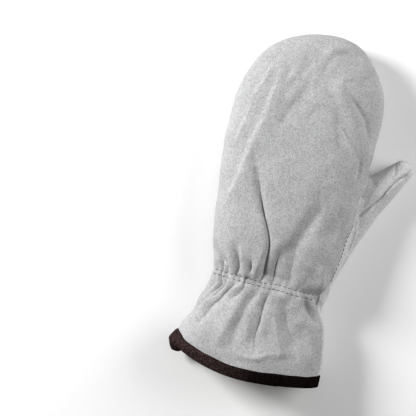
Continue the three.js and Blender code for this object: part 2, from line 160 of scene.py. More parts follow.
# Folds as lines of places (x, y, depth) in millimetres, with the widths to their left and right
# and their crispness, from 1 for a pinched one to 2 for a round one. A depth under 0 is a ridge.
# Most numbers of BACK_FOLDS were not chosen by hand. A program fitted them to the shading of the
# back in the photograph, starting from traced lines.
BACK_FOLDS = [
    # Deep crease over the middle and the valley that carries on under the elastic
    (4.6, 3.4, 1.7, [(-38, 199, 0), (-32.5, 186, 2.0), (-27, 174, 3.4), (-22, 161, 3.6), (-17.5, 149, 2.0),
        (-13, 138, 0)]),
    (2.1, 2.4, 1.07, [(-24.6, 168.2, 0), (-20.4, 156.1, 1.8), (-15.5, 143.9, 6), (-9.8, 132.3, 6),
        (-5.5, 121.7, 6), (-4, 112.7, 6), (-4.1, 104.7, 6), (-4.1, 97.9, 6),
        (-3.8, 90.8, 6), (-5.2, 85.1, 1.4), (-5, 81, 0)]),
    (4.3, 4.6, 1.53, [(-3.9, 91, 0), (-6.6, 85.2, -1.5), (-4.6, 78.3, 2), (-7.2, 70.4, 4.5),
        (-11, 63, 4.1), (-12.5, 54.8, 2.4), (-15.4, 47.4, 2.5), (-17.1, 39.7, 2.6),
        (-16.2, 29.7, 1.3), (-21.4, 22.7, 0)]),
    # Pleats of the gathers and of the cuff under them
    (3.6, 1.3, 1.13, [(-49.5, 102.4, 0), (-47.3, 98.3, -0.4), (-43.9, 93.7, 1.6), (-40.6, 88.2, 6),
        (-41.8, 82.4, 5.1), (-40.7, 76.3, 5.9), (-44.6, 69.2, 3.4), (-48.8, 62.5, 3.2),
        (-53, 55, 2), (-57, 47, 0)]),
    (5.8, 1.1, 1.15, [(-42.5, 104.7, 0), (-39.4, 100.2, 1), (-36.2, 95.1, 6), (-32.9, 89, 6),
        (-32.5, 82.6, 4.4), (-34, 76.6, 5.5), (-37.5, 71.9, 5.6), (-42, 65.5, 2.1),
        (-46.6, 59.3, 0)]),
    (7, 3.1, 1.15, [(-34.7, 115.5, 0), (-31.2, 107.8, 1.8), (-27.3, 100.7, 3.8), (-24.8, 93, 4.1),
        (-25.5, 86.7, 1.2), (-23.5, 80.5, -1.3), (-27.8, 73.9, 3.1), (-32.6, 68.2, 5.1),
        (-36.6, 62, 5.5), (-41.3, 56.2, 5.9), (-45.9, 48.9, 6), (-48.8, 42, 2.4), (-50, 34, 0)]),
    (2.9, 1.8, 1.15, [(-17.8, 108.6, 0), (-16.4, 101.8, 0.8), (-14.7, 94.8, 3.6), (-15.8, 88.7, -0.2),
        (-18, 82.9, 2.3), (-17.7, 76.4, 1.7), (-20.9, 70.3, 1.6), (-25.3, 65.9, 1.2),
        (-29.4, 59.1, 0)]),
    (4.5, 5, 1.15, [(14.8, 127.9, 0), (6.7, 115.2, 0.6), (4.9, 104.7, 3.8), (5.2, 96.9, 5.9),
        (5.5, 88.9, 4.6), (2.9, 83.2, -2), (4.4, 77, 0.9), (3.4, 70.1, 3.5),
        (2.7, 63.2, 5.3), (2.6, 55.5, 4.4), (1.9, 47.6, 3.2), (0.5, 40, 2.8),
        (2.5, 31.5, 2.2), (4, 23.5, 0)]),
    (11, 5.2, 1.2, [(18.3, 122.4, 0), (19.6, 110.6, 3.3), (19.4, 98.7, 4), (20.9, 88.9, 3.2),
        (19, 81, -2.2), (20, 73.1, 0), (22.3, 65.3, 3.1), (24.6, 57.6, 5.3),
        (28.9, 48.4, 5.3), (34.4, 40.8, 4.6), (38.2, 32.8, 1.4), (38.4, 24.6, 0)]),
    (3.6, 4.6, 1.3, [(34, 86, 0), (35.5, 79, 2.7), (37.5, 73.5, 4.1), (42, 68.5, 4.9),
        (47.5, 64.8, 4.6), (54, 60, 1.1), (58, 57, 0)]),
    (3.6, 3.6, 1.8, [(45.1, 86.6, 0), (46.4, 80.5, 2.2), (50.3, 75.7, 3.2), (54.8, 71.2, 2),
        (58, 66.1, 0)]),
    (3.6, 5.6, 2.2, [(32, 106.7, 0), (35.5, 96.3, 1.5), (28.6, 88, 0), (35.8, 82.9, 0)]),
    (3.3, 4.7, 2.01, [(-39.8, 116.1, 0), (-39, 105.4, -0.9), (-34.1, 97, -2.8), (-30.8, 89.1, -2.8),
        (-29.8, 81.8, -2.8), (-32.7, 74.2, -2.1), (-36.9, 66.4, -1), (-44.7, 59.8, 0)]),
    (1.5, 4.8, 1.7, [(-29.7, 113.8, 0), (-25.4, 104.2, -2.8), (-22.8, 95.2, -2.8), (-20, 87.2, -2.8),
        (-20.9, 79.7, -2.8), (-26.8, 72.4, -2.8), (-30.1, 66, 0)]),
    (2.6, 2.1, 1.87, [(-50.3, 112.6, 0), (-48, 104.4, 3), (-43, 96.7, 3.9), (-40.2, 88.3, -2.1),
        (-43.9, 80.1, 1.3), (-47.6, 71.8, 0.9), (-53.1, 64.1, 0)]),
    (3, 4.3, 1.81, [(-50.1, 60, 0), (-48.6, 50.1, -0.1), (-49, 40, 0.7), (-44.8, 30.5, -1.3),
        (-40.1, 22.9, 0)]),
    (3, 4.8, 1.75, [(11.9, 60, 0), (9.3, 50.2, 0.1), (11.8, 39.7, 0.5), (9, 29.8, 0)]),
    (4.7, 4.5, 1.95, [(34.9, 59.5, 0), (40.5, 50.3, 2.1), (45.6, 41.7, 1.7), (51.5, 33.6, 0)]),
    (4.1, 4.7, 1.61, [(41.9, 110, 0), (45.3, 100.2, -2.4), (46.5, 92.2, -2.5), (44, 83.7, 0)]),
    (2.3, 2.4, 1.76, [(12.4, 116, 0), (12.1, 105.9, -0.3), (13.1, 96, 0), (14.1, 86, 0.8),
        (13.7, 76, -0.2), (14.2, 66, 0)]),
    # Ridges between the pleats
    (5.6, 6.2, 2.01, [(-16.2, 74.4, -1.1), (-18.8, 63.7, -2.8), (-21.8, 53, -1.9), (-26, 43.8, -2.2),
        (-27.2, 33.9, -2.8), (-26.7, 23.8, 0)]),
    (3.4, 4.7, 1.87, [(0.2, 79.8, -0.6), (-5.4, 71.1, -2.5), (-10.4, 61.8, -2), (-10.3, 51.8, -1.9),
        (-7.2, 41.8, -2.1), (-6, 31.9, 0)]),
    (2.3, 6, 1.67, [(8, 77.1, -0.6), (4.9, 63.4, -2.8), (5.2, 51.8, -2.6), (5.1, 40, 0)]),
    (3.4, 5.5, 1.31, [(12.2, 71.1, 0), (13.1, 61.1, -1.3), (16, 51.3, -2.8), (20.2, 41.5, -2.8),
        (24.2, 31.8, -2.8), (26.7, 23.7, 0)]),
    (2.1, 2.3, 1.42, [(28.4, 84.7, 0), (31.7, 80.8, -2.8), (33.7, 76.1, -2.3), (34.7, 70.3, -0.7),
        (39.1, 65.9, -1.4), (43.6, 61.8, 0)]),
    (4.4, 5.2, 1.93, [(26.6, 124.3, -0.4), (23.6, 110.5, -0.5), (28, 98.9, 1.1), (24.5, 88.7, -1.2),
        (24.7, 78.7, 1.4), (25, 68.3, -1.3), (33.8, 62.6, 0)]),
    (6.3, 1.1, 1.94, [(-12.7, 128.1, 0), (-9.3, 114.5, -0.3), (-9.1, 104.6, -1.8), (-9.4, 96.6, -2.8),
        (-10.3, 88.5, -0.7)]),
    (2.4, 2.2, 2.01, [(-17, 18.6, 0), (-5.3, 20.2, -0.8), (6.5, 21.2, -1.2), (14.7, 26.3, -0.6),
        (22.1, 28, 0)]),
    # Long folds of the hand
    (4, 8.6, 1.73, [(-35.5, 182.2, 0), (-31.9, 191.7, 0.8), (-26.2, 201.5, -0.5), (-22.9, 213.7, 0.3),
        (-15.7, 223.4, 1.5), (-11.2, 235.6, 1.6), (-5.3, 246.2, 1.7), (-1, 257.4, 1.3),
        (0.9, 270.6, 0)]),
    (2.9, 10.5, 1.91, [(-26.5, 270.1, 0), (-26.2, 255.7, -2.1), (-28.9, 241.9, -2.8),
        (-30.5, 228, -2.8), (-33.7, 213.4, -2.8), (-37.1, 198.8, -2.8),
        (-39.2, 185.9, -2.8), (-41.2, 170.7, -2.8), (-44.7, 157, -2.8),
        (-47.2, 145.1, 0)]),
    (1.9, 7.1, 1.75, [(-33.2, 268, 0), (-36.3, 260.1, -2), (-40, 250.1, -1.9), (-45.5, 238.5, -0.8),
        (-46, 224.3, -1.1), (-48.6, 208.6, -1.7), (-51.6, 193.9, 0)]),
    (1.7, 2.1, 1.32, [(-37.1, 258.9, 0), (-36.7, 264, -1.4), (-34.7, 268.7, 0)]),
    (6.3, 9, 1.7, [(9.3, 111.3, 1.5), (16.4, 120.8, 3.9), (21.6, 132.9, 4), (26, 144.1, 4.2),
        (30, 155.3, 3.4),
        (30.6, 167.1, 1.8), (32.8, 179.1, 0)]),
    (2.6, 6.9, 2.0, [(21.8, 117.6, 0), (25.8, 127.4, -0.2), (30.7, 139.1, -0.4), (36.5, 152, -0.3),
        (38.9, 163.4, -0.1), (41.6, 175.3, 0)]),
    (10.8, 8.6, 2.2, [(36.3, 128.9, 0), (45.5, 138.4, 3.6), (44.8, 151.9, 2.3), (49.8, 163.6, -0.5),
        (54.2, 175.2, 0)]),
    (3.2, 10, 1.27, [(17, 257.8, 0), (24.5, 254.9, -2.8), (30.1, 246, -2.8), (36.3, 236.8, -2.8),
        (43.6, 228.1, -2.8), (49.1, 218.1, -2.8), (54, 208.9, -1.8), (51.4, 196.8, 0)]),
    (5.3, 4.4, 2.2, [(25, 244.3, 0), (30.5, 236.2, 1.5), (34, 224.2, 2), (39.9, 214.6, 1.1),
        (48.9, 207.6, 0)]),
    (2.7, 1.7, 1.79, [(31.2, 259, 0), (41.7, 250.5, 1.6), (52.5, 240.4, 1.4), (57.4, 227.9, 1),
        (60.8, 215.2, -0.9), (63.2, 203.5, 0)]),
    (1.7, 3.1, 1.71, [(16.1, 258.1, 0), (23.8, 246.9, 0.4), (32.7, 235.7, -0.4), (40.1, 224.4, 2.1),
        (50.6, 212.8, 1.9), (57, 198.9, 1.9), (55.9, 183.8, 0)]),
    (3, 2.7, 1.42, [(14.9, 263.3, 0), (25.4, 256.6, -2.8), (35.7, 246.4, -2.8), (44.5, 232.3, -0.3),
        (52.6, 218.3, 0.3), (57.4, 203.8, -1), (61.4, 190.1, 0)]),
    (2.6, 3.9, 1.8, [(28.7, 210.1, 0), (31.4, 198.1, -0.7), (30.7, 186, 0.6), (31.6, 172.1, -0.7),
        (30, 159.9, 0)]),
    # Fingertip
    (3.1, 2.5, 1.79, [(3.7, 252.9, 0), (2.7, 264.3, -1), (9.3, 273.1, 0.8), (12.7, 281.5, 0.8),
        (17.4, 289.2, 0.8), (25.9, 292.2, 2.2), (36.8, 290.8, 0.8)]),
    (3.1, 6.6, 2.15, [(18.6, 258.9, 0), (25.5, 267, -1.2), (32.6, 275.3, -0.5), (32.8, 288.8, 0.1),
        (40.9, 293.8, 0)]),
    (1.1, 3, 1.43, [(35.8, 266, 0), (43.4, 266.5, 0.4), (52.8, 268.5, 0.6), (59, 270, 0)]),
    (4.8, 1.4, 1.97, [(-20.3, 282, 0), (-17.5, 272.5, 0.7), (-20.5, 262.5, 1.5), (-21.8, 252.5, 0)]),
    (3.7, 2.2, 1.97, [(-10.6, 287.8, 0), (-6.8, 277, 0.8), (-14.2, 265.7, -0.3), (-16.4, 252.2, 0.7),
        (-21.1, 240.6, 0)]),
    (3.3, 2.5, 1.96, [(-7.5, 290.3, 0), (-2.8, 277.4, 1.2), (-7.7, 267.6, 1), (-8.7, 255.3, 0)]),
    (2.3, 10.4, 1.15, [(7.1, 243.6, 0), (7.7, 237.3, 0.8), (4.4, 228.6, 0.8), (3.1, 219.4, 0)]),
    (4.4, 6.5, 1.8, [(-2.4, 262.1, 0), (0.5, 272.2, -0.3), (3.5, 282.7, 0.3), (11.6, 290, -2.8),
        (12.5, 298, 0)]),
    (3.9, 4, 1.9, [(30, 258, 0), (37, 265.2, -0.1), (45.8, 272.2, 1.1), (51.6, 280.3, 0)]),
]
THUMB_FOLDS = [
    (1.8, 2.4, 1.1, [(88.8, 189, 0), (89.3, 194.5, 1.8), (90, 201.5, 2.4), (89.3, 209.5, 1.6), (91, 215, 0)]),
    (2.5, 2.5, 1.8, [(93, 205, 0), (96, 209, 0.9), (99, 214, 0)]),
    (2.2, 2.2, 1.8, [(74, 160, 0), (79, 168, 0.9), (84, 176, 0.9), (87, 182, 0)]),
    (3.0, 3.0, 1.8, [(70, 192, 0), (74, 187, 0.6), (78, 183, 0)]),
]
PALM_FOLDS = [
    (5.8, 5.8, 2.0, [(50, 140, 0), (42, 125, 2.0), (25, 92, 2.5), (15, 62, 1.6), (8, 35, 0)]),
    (6.4, 6.4, 2.0, [(36, 160, 0), (24, 140, 1.8), (3, 107, 2.2), (-6, 74, 1.6), (-12, 48, 0)]),
    (5.8, 5.8, 2.0, [(1, 136, 0), (-8, 118, 1.6), (-19, 92, 2.0), (-26, 68, 1.4), (-32, 46, 0)]),
    (4.5, 4.5, 2.0, [(47, 108, 0), (41, 88, 1.6), (37, 66, 1.6), (36, 42, 0)]),
]

# Folds at most this crisp are pinched to a crease, and those under the second get a finer mesh
CRISP = 1.15
CRISP_MESH = 1.25
FOLD_MESH_REACH = 1.7
SEAM_MESH_REACH = 1.5
PINCH = 0.7
PINCH_REACH = 2.6
SEAM_PINCH_REACH = 1.4
DEEP = 4.0

# The elastic's dip across the wrist, in which folds are flatter towards the thumb's side
ELASTIC_AT = 83.5
ELASTIC_DIP = 1.6
ELASTIC_REACH = 6.0
FLATTER = 0.45
FLATTER_FROM = -15
FLATTER_RUN = 20
FLATTER_BELOW = 2
FLATTER_REACH = 3.5
PUCKER = 0.2
PUCKER_REACH = 8

# The elastic's two rows of stitches, and the holes and groove that they press
ELASTIC_ROWS = [
    [(-45, 86.5), (-20, 86), (0, 84.5), (10, 86), (24, 84.5), (38, 84), (47, 83.5)],
    [(-46, 83), (-28, 82), (-10, 81.5), (5, 80.5), (10, 81.5), (23, 80), (47, 79.5)],
]
ELASTIC_PITCH = 4.3
ELASTIC_STITCH = 3.4
ELASTIC_THREAD = 0.27
ROW_DEPTH = 0.22
ROW_WIDTH = 0.9
NEEDLE = 0.9
NEEDLE_DEPTH = 0.2
NEEDLE_REACH = 4

# Seam stitches beside the thumb, from one place along the mitt to another
SEAM_FROM = 98
SEAM_TO = 151
SEAM_PITCH = 3.6
SEAM_STITCH = 2.6
SEAM_THREAD = 0.3

# Depth and width of each seam's groove, and the welt over the crotch
GROOVES = {"back": (1.6, 0.9), "palm": (1.0, 1.1), "side": (1.1, 1.2), "thumb": (2.0, 0.9)}
WELT = [(66.1, 153), (67.3, 141), (66.6, 134.5), (65.6, 128.5)]
WELT_HEIGHT = 0.8
WELT_WIDTH = 0.9

# Small unevenness of the leather: size across, depth and seed
UNEVEN = [(34, 0.35, 1), (7, 0.10, 2)]


def smooth(value):
    t = np.clip(value, 0, 1)
    return t * t * (3 - 2 * t)


def power(value, exponent):
    return np.sign(value) * np.abs(value) ** exponent


def along(tab, column, at):
    """A table's column on a smooth curve through its rows, level where the column turns back."""
    x = tab["at"]
    y = tab[column]
    before_x, before_y = np.r_[x[0], x[:-1]], np.r_[y[0], y[:-1]]
    after_x, after_y = np.r_[x[1:], x[-1]], np.r_[y[1:], y[-1]]
    slope = (after_y - before_y) / (after_x - before_x)
    turns = (y - before_y) * (after_y - y) <= 0
    turns[[0, -1]] = False
    slope[turns] = 0
    at = np.clip(at, x[0], x[-1])
    i = np.clip(np.searchsorted(x, at, side="left") - 1, 0, len(x) - 2)
    step = x[i + 1] - x[i]
    t = (at - x[i]) / step
    return ((2 * t**3 - 3 * t**2 + 1) * y[i] + (t**3 - 2 * t**2 + t) * step * slope[i]
            + (3 * t**2 - 2 * t**3) * y[i + 1] + (t**3 - t**2) * step * slope[i + 1])


def curved(line, steps=3):
    """A line's places with more between them, on a smooth curve."""
    p = np.array(line, float)
    ends = np.vstack([2 * p[0] - p[1], p, 2 * p[-1] - p[-2]])
    t = (np.arange(steps) / steps)[:, None]
    parts = [0.5 * (2 * b + (c - a) * t + (2 * a - 5 * b + 4 * c - d) * t**2 + (3 * b - a - 3 * c + d) * t**3)
             for a, b, c, d in zip(ends, ends[1:], ends[2:], ends[3:])]
    return np.vstack(parts + [p[-1:]])


def fold_push(folds, x, y):
    """How far a table's folds push the leather in at each place in plan."""
    total = np.zeros_like(y)
    for left, right, crisp, line in folds:
        line = curved(line)
        lx, ly, depth = line.T
        reach = 4 * max(left, right)
        near = (y > ly.min() - reach) & (y < ly.max() + reach)
        near &= (x > lx.min() - reach) & (x < lx.max() + reach)
        px, py = x[near], y[near]
        best = np.full(px.shape, 1e9)
        push = np.zeros(px.shape)
        for i in range(len(line) - 1):
            dx, dy = lx[i + 1] - lx[i], ly[i + 1] - ly[i]
            t = np.clip(((px - lx[i]) * dx + (py - ly[i]) * dy) / (dx * dx + dy * dy), 0, 1)
            ex, ey = px - lx[i] - t * dx, py - ly[i] - t * dy
            distance = np.hypot(ex, ey)
            turned = dy > 0 if abs(dy) > abs(dx) else dx < 0
            side = (ex * dy - ey * dx) * (1 if turned else -1)
            share = side / np.maximum(distance, 1e-6) / math.hypot(dx, dy)
            width = left + (right - left) * smooth(0.5 + share)
            here = (depth[i] + (depth[i + 1] - depth[i]) * t) * np.exp(-((distance / width) ** crisp))
            closer = distance < best
            best[closer] = distance[closer]
            push[closer] = here[closer]
        total[near] += push
    return total


def at_corner(angle, spread=CORNER_SPREAD):
    """How near an angle round the cuff is to its left corner, from 0 to 1."""
    return np.exp(-(((np.mod(angle, 2 * math.pi) - CORNER_TURN) / spread) ** 2))


def hem_rise(angle):
    """How far the leather's edge lies from the tape's lowest point."""
    across = np.cos(angle)
    side = np.where(across < 0, HEM_RISE_LEFT, HEM_RISE_RIGHT) * np.abs(across) ** HEM_CURVE
    return TAPE + GAP + side - CORNER_DROP * at_corner(angle)


def body_point(angle, row, layer):
    """Points of the body. Row 0 to 1 runs from the hem to the start of the fingertip and row
    1 to 2 over the fingertip. Layer gives the depth under the outside at each way in."""
    angle, row = np.broadcast_arrays(np.asarray(angle, float), np.asarray(row, float))
    straight = np.minimum(row, 1) * TIP_START
    rise = hem_rise(angle) * (1 - smooth((straight - TAPE_AT) / (CUFF_END - TAPE_AT)))
    inset = layer(np.where(row > 1, 1e6, straight * LENGTH))
    turn = np.maximum(row - 1, 0) * math.pi / 2
    forward = np.sin(turn) ** (2 / TIP_ROUND)
    narrow = np.where(row >= 2, 0, np.maximum(np.cos(turn), 0) ** (2 / TIP_ROUND))
    low = np.where(row >= 2, 0, np.maximum(1 - forward**TIP_BLUNT, 0) ** (1 / TIP_BLUNT))
    y = straight * LENGTH + rise + forward * (LENGTH * (1 - TIP_START) - inset)
    at = y / LENGTH
    cos, sin = np.cos(angle), np.sin(angle)
    across = power(cos, 2 / BACK_ROUND)
    half = along(SECTIONS, "width", at) / 2
    top = back_top(across, at)
    side = along(SECTIONS, "side", at) * top
    foot = along(SECTIONS, "foot", at)
    x = along(SECTIONS, "mid", at) * HAND_WIDTH + (half - inset) * narrow * across
    over = (top - inset - side) * low * power(sin, 2 / BACK_ROUND)
    pressed = np.minimum(PALM_PRESS * np.abs(sin) ** (2 / PALM_ROUND), 1)
    under = (side - foot - inset) * low * pressed
    z = side + np.where(sin >= 0, over, -under)
    return np.stack([x, y, z], -1)


def back_top(across, at):
    """Height of the back, which waves a little at the cuff."""
    wave = CUFF_WAVE * np.sin(WAVE_TURN * across + 1) * (1 - smooth(at / CUFF_END))
    return along(SECTIONS, "top", at) + wave


def back_push(x, y):
    """How far the back is pushed in by its folds and by the elastic."""
    near_elastic = np.exp(-(((y - ELASTIC_AT + FLATTER_BELOW) / FLATTER_REACH) ** 2))
    flatter = 1 - FLATTER * smooth((x - FLATTER_FROM) / FLATTER_RUN) * near_elastic
    dip = ELASTIC_DIP * np.exp(-(((y - ELASTIC_AT) / ELASTIC_REACH) ** 2))
    return fold_push(BACK_FOLDS, x, y) * flatter + dip


def thumb_point(angle, row, inset):
    """Points of the thumb. Row 0 to 1 follows its centre line and row 1 to 2 rounds its tip."""
    angle, row = np.broadcast_arrays(np.asarray(angle, float), np.asarray(row, float))
    at = np.minimum(row, 1)

    def middle(share):
        return (along(THUMB_SECTIONS, "x", share) * HAND_WIDTH, along(THUMB_SECTIONS, "y", share) * LENGTH)
    after = middle(np.minimum(at + 0.01, 1))
    behind = middle(np.minimum(at + 0.01, 1) - 0.02)
    dx, dy = after[0] - behind[0], after[1] - behind[1]
    size = np.hypot(dx, dy)
    dx, dy = dx / size, dy / size
    wide = along(THUMB_SECTIONS, "wide", at) * THUMB_WIDTH / 2 - inset
    tall = along(THUMB_SECTIONS, "tall", at) * THUMB_HEIGHT / 2 - inset
    turn = np.maximum(row - 1, 0) * math.pi / 2
    narrow = np.where(row >= 2, 0, np.cos(turn))
    reach = wide * np.sin(turn)
    out = wide * narrow * np.cos(angle)
    mx, my = middle(at)
    z = THUMB_LIFT + THUMB_HEIGHT / 2 + tall * narrow * np.sin(angle)
    return np.stack([mx + dx * reach + dy * out, my + dy * reach - dx * out, z + 0 * out], -1)


# Place of the mitt's own millimetres in the frame, from the tape's lowest edge and left corner
tape_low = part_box("edge_binding")[0] * 1000
corner = body_point(math.pi, 0, lambda way: -GAP - TAPE)
SHIFT = np.array([tape_low.x - corner[0], tape_low.y, 0.0])


def make_mesh(name, points, faces):
    """An object from points in the mitt's millimetres, smooth shaded."""
    mesh = bpy.data.meshes.new(name)
    placed = (np.asarray(points, float).reshape(-1, 3) + SHIFT) / 1000
    mesh.from_pydata([tuple(p) for p in placed], [], [tuple(int(i) for i in f) for f in faces])
    mesh.polygons.foreach_set("use_smooth", [True] * len(mesh.polygons))
    mesh.update()
    obj = bpy.data.objects.new(name, mesh)
    bpy.context.scene.collection.objects.link(obj)
    return obj


def grid_faces(rows, columns, first=0, closed=False):
    """Faces of a grid whose columns close on themselves, and whose rows may too."""
    r, c = np.meshgrid(np.arange(rows if closed else rows - 1), np.arange(columns), indexing="ij")
    n = (r + 1) % rows
    e = (c + 1) % columns
    quads = np.stack([r * columns + c, r * columns + e, n * columns + e, n * columns + c], -1)
    return quads.reshape(-1, 4) + first


def points_of(obj):
    co = np.empty(len(obj.data.vertices) * 3)
    obj.data.vertices.foreach_get("co", co)
    return co.reshape(-1, 3) * 1000 - SHIFT


def set_points(obj, points):
    obj.data.vertices.foreach_set("co", ((points + SHIFT) / 1000).ravel())
    obj.data.update()


def normals_of(obj):
    normals = np.empty(len(obj.data.vertices) * 3)
    obj.data.vertices.foreach_get("normal", normals)
    return normals.reshape(-1, 3)


def closed_tube(rings, first, last):
    """Points and faces of a closed form through rings, with a point at each end."""
    rows, columns = rings.shape[:2]
    points = np.vstack([rings.reshape(-1, 3), first, last])
    faces = [list(f) for f in grid_faces(rows, columns)]
    start, end = rows * columns, rows * columns + 1
    top = (rows - 1) * columns
    for c in range(columns):
        e = (c + 1) % columns
        faces.append([start, e, c])
        faces.append([end, top + c, top + e])
    return points, faces


def body_form(layer, columns, step, before):
    """Closed form inside one layer of the body without its folds, from before the hem on."""
    angles = np.linspace(0, 2 * math.pi, columns, endpoint=False)[None, :]
    straight = np.linspace(0, 1, round(LENGTH * TIP_START / step))
    rows = np.r_[straight, np.linspace(1, 2, round(TIP_RUN / step))[1:-1]][:, None]
    rings = body_point(angles, rows, layer)
    start = rings[:1] - np.array([0, before, 0])
    rings = np.concatenate([start, rings])
    return closed_tube(rings, rings[0].mean(0), body_point(0, 2, layer))


def thumb_form(inset, columns, step):
    """Closed form of the thumb at one depth under its outside."""
    angles = np.linspace(0, 2 * math.pi, columns, endpoint=False)[None, :]
    straight = np.linspace(0, 1, round(THUMB_RUN / step))
    rows = np.r_[straight, np.linspace(1, 2, round(THUMB_TIP_RUN / step))[1:-1]][:, None]
    rings = thumb_point(angles, rows, inset)
    return closed_tube(rings, rings[0].mean(0), thumb_point(0, 2, inset))


def fused(name, forms, voxel):
    """The closed forms joined into one even skin of small squares."""
    points, faces, count = [], [], 0
    for form_points, form_faces in forms:
        points.append(form_points)
        faces += [[i + count for i in f] for f in form_faces]
        count += len(form_points)
    obj = make_mesh(name, np.vstack(points), faces)
    remesh = obj.modifiers.new("skin", "REMESH")
    remesh.mode = "VOXEL"
    remesh.voxel_size = voxel / 1000
    apply_modifiers(obj)
    return obj


def apply_modifiers(obj):
    """Turns an object's modifiers into its mesh."""
    bpy.context.view_layer.update()
    graph = bpy.context.evaluated_depsgraph_get()
    mesh = bpy.data.meshes.new_from_object(obj.evaluated_get(graph), depsgraph=graph)
    obj.modifiers.clear()
    old = obj.data
    obj.data = mesh
    bpy.data.meshes.remove(old)
    mesh.polygons.foreach_set("use_smooth", [True] * len(mesh.polygons))
    mesh.update()


def relax(obj, points, weight, times):
    """Points drawn towards the middle of their neighbours, as far as weight says."""
    edges = np.empty(len(obj.data.edges) * 2, np.int64)
    obj.data.edges.foreach_get("vertices", edges)
    a, b = edges.reshape(-1, 2).T
    count = np.bincount(np.r_[a, b], minlength=len(points))[:, None]
    for _ in range(times):
        total = np.stack([np.bincount(np.r_[a, b], np.r_[points[b, k], points[a, k]], len(points))
                          for k in range(3)], -1)
        points = points + weight[:, None] * 0.6 * (total / count - points)
    return points


def distance_to(cloud, points, far=40.0):
    """Distance from each point to the nearest of a cloud of points."""
    tree = KDTree(len(cloud))
    for i, p in enumerate(cloud):
        tree.insert(p, i)
    tree.balance()
    return np.array([min(tree.find(p)[2], far) for p in points])


def seam_height(y):
    """Height of the seam along the mitt's sides."""
    at = y / LENGTH
    top = along(SECTIONS, "top", at)
    foot = along(SECTIONS, "foot", at)
    return foot + (along(SECTIONS, "side", at) * top - foot) * SEAM_LEVEL


def wave_noise(points, size, seed, octaves=3):
    """Soft noise from -1 to 1 made of crossing waves, with bumps about size across."""
    rng = np.random.default_rng(seed)
    total = np.zeros(len(points))
    weight = 0.0
    for octave in range(octaves):
        for _ in range(7):
            direction = rng.normal(size=3)
            direction *= 2 * math.pi / (size / 2**octave) / np.linalg.norm(direction)
            wave = np.sin(points @ direction * rng.uniform(0.6, 1.4) + rng.uniform(0, 6.3))
            total += wave / 2**octave
        weight += 1 / 2**octave
    return total / (weight * math.sqrt(7) * 1.4)


def stitch_places(line, pitch, length):
    """Both ends of each stitch on a line, a little uneven in place."""
    line = np.array(line, float)
    way = np.r_[0, np.cumsum(np.hypot(*np.diff(line, axis=0).T))]
    start = np.arange(0, way[-1] - length, pitch)
    start = start + 0.12 * pitch * np.sin(5.3 * np.arange(len(start)))
    return [np.stack([np.interp(at, way, line[:, k]) for k in range(2)], -1)
            for at in (start, start + length)]


def seam_line(seam, low, high):
    """A seam from one place along the mitt to another, as points in plan."""
    y = np.linspace(low, high, 40)
    return np.stack([along(seam, "x", y / LENGTH) * HAND_WIDTH, y], -1)


# Leather: one skin for hand and thumb, folded and seamed, then parted at its seams

def line_distance(points, line):
    """Distance in plan from each point to a line of straight steps."""
    best = np.full(len(points), 1e9)
    for (ax, ay), (bx, by) in zip(line[:-1], line[1:]):
        dx, dy = bx - ax, by - ay
        t = np.clip(((points[:, 0] - ax) * dx + (points[:, 1] - ay) * dy) / (dx * dx + dy * dy), 0, 1)
        best = np.minimum(best, np.hypot(points[:, 0] - ax - t * dx, points[:, 1] - ay - t * dy))
    return best


def groove(distance, depth, width):
    """A seam's groove, with the leather puffed a little beside it."""
    beside = (distance - 2.6 * width) / (1.4 * width)
    return depth * (np.exp(-((distance / width) ** 1.3)) - 0.25 * np.exp(-(beside**2)))


def refine(obj, near):
    """Halves the skin's squares where near says so."""
    mesh = bmesh.new()
    mesh.from_mesh(obj.data)
    mesh.edges.ensure_lookup_table()
    edges = [e for e in mesh.edges if near[e.verts[0].index] and near[e.verts[1].index]]
    bmesh.ops.subdivide_edges(mesh, edges=edges, cuts=1, use_grid_fill=True)
    mesh.to_mesh(obj.data)
    mesh.free()
    obj.data.polygons.foreach_set("use_smooth", [True] * len(obj.data.polygons))
    obj.data.update()


def crisp_places(points, normals):
    """Where the back has a sharp fold or a seam."""
    near = np.zeros(len(points), bool)
    for _, _, crisp, line in BACK_FOLDS:
        if crisp < CRISP_MESH:
            near |= line_distance(points, curved(line)[:, :2]) < FOLD_MESH_REACH
    for line in ELASTIC_ROWS + [THUMB_SEAM, WELT, seam_line(BACK_SEAM, 0, SIDE_SEAM_END * LENGTH)]:
        near |= line_distance(points, line) < SEAM_MESH_REACH
    return near & (normals[:, 2] > -0.1)


def pinched(points, lines, reach, share, where):
    """Points moved in plan towards lines (x, y, strength) near them, so that folds and seams close."""
    points = points.copy()
    for line in lines:
        distance = line_distance(points, line[:, :2])
        near = np.flatnonzero((distance < 2.5 * reach) & (where > 0))
        spot = points[near]
        best = np.full(len(near), 1e9)
        pull = np.zeros((len(near), 2))
        for a, b in zip(line[:-1], line[1:]):
            step = (b - a)[:2]
            t = np.clip((spot[:, :2] - a[:2]) @ step / (step @ step), 0, 1)[:, None]
            way = a[:2] + t * step - spot[:, :2]
            far = np.hypot(*way.T)
            closer = far < best
            best[closer] = far[closer]
            pull[closer] = (way * (a[2] + t * (b - a)[2:]))[closer]
        weight = share * np.exp(-((best / reach) ** 2)) * where[near]
        points[near, :2] += weight[:, None] * pull
    return points


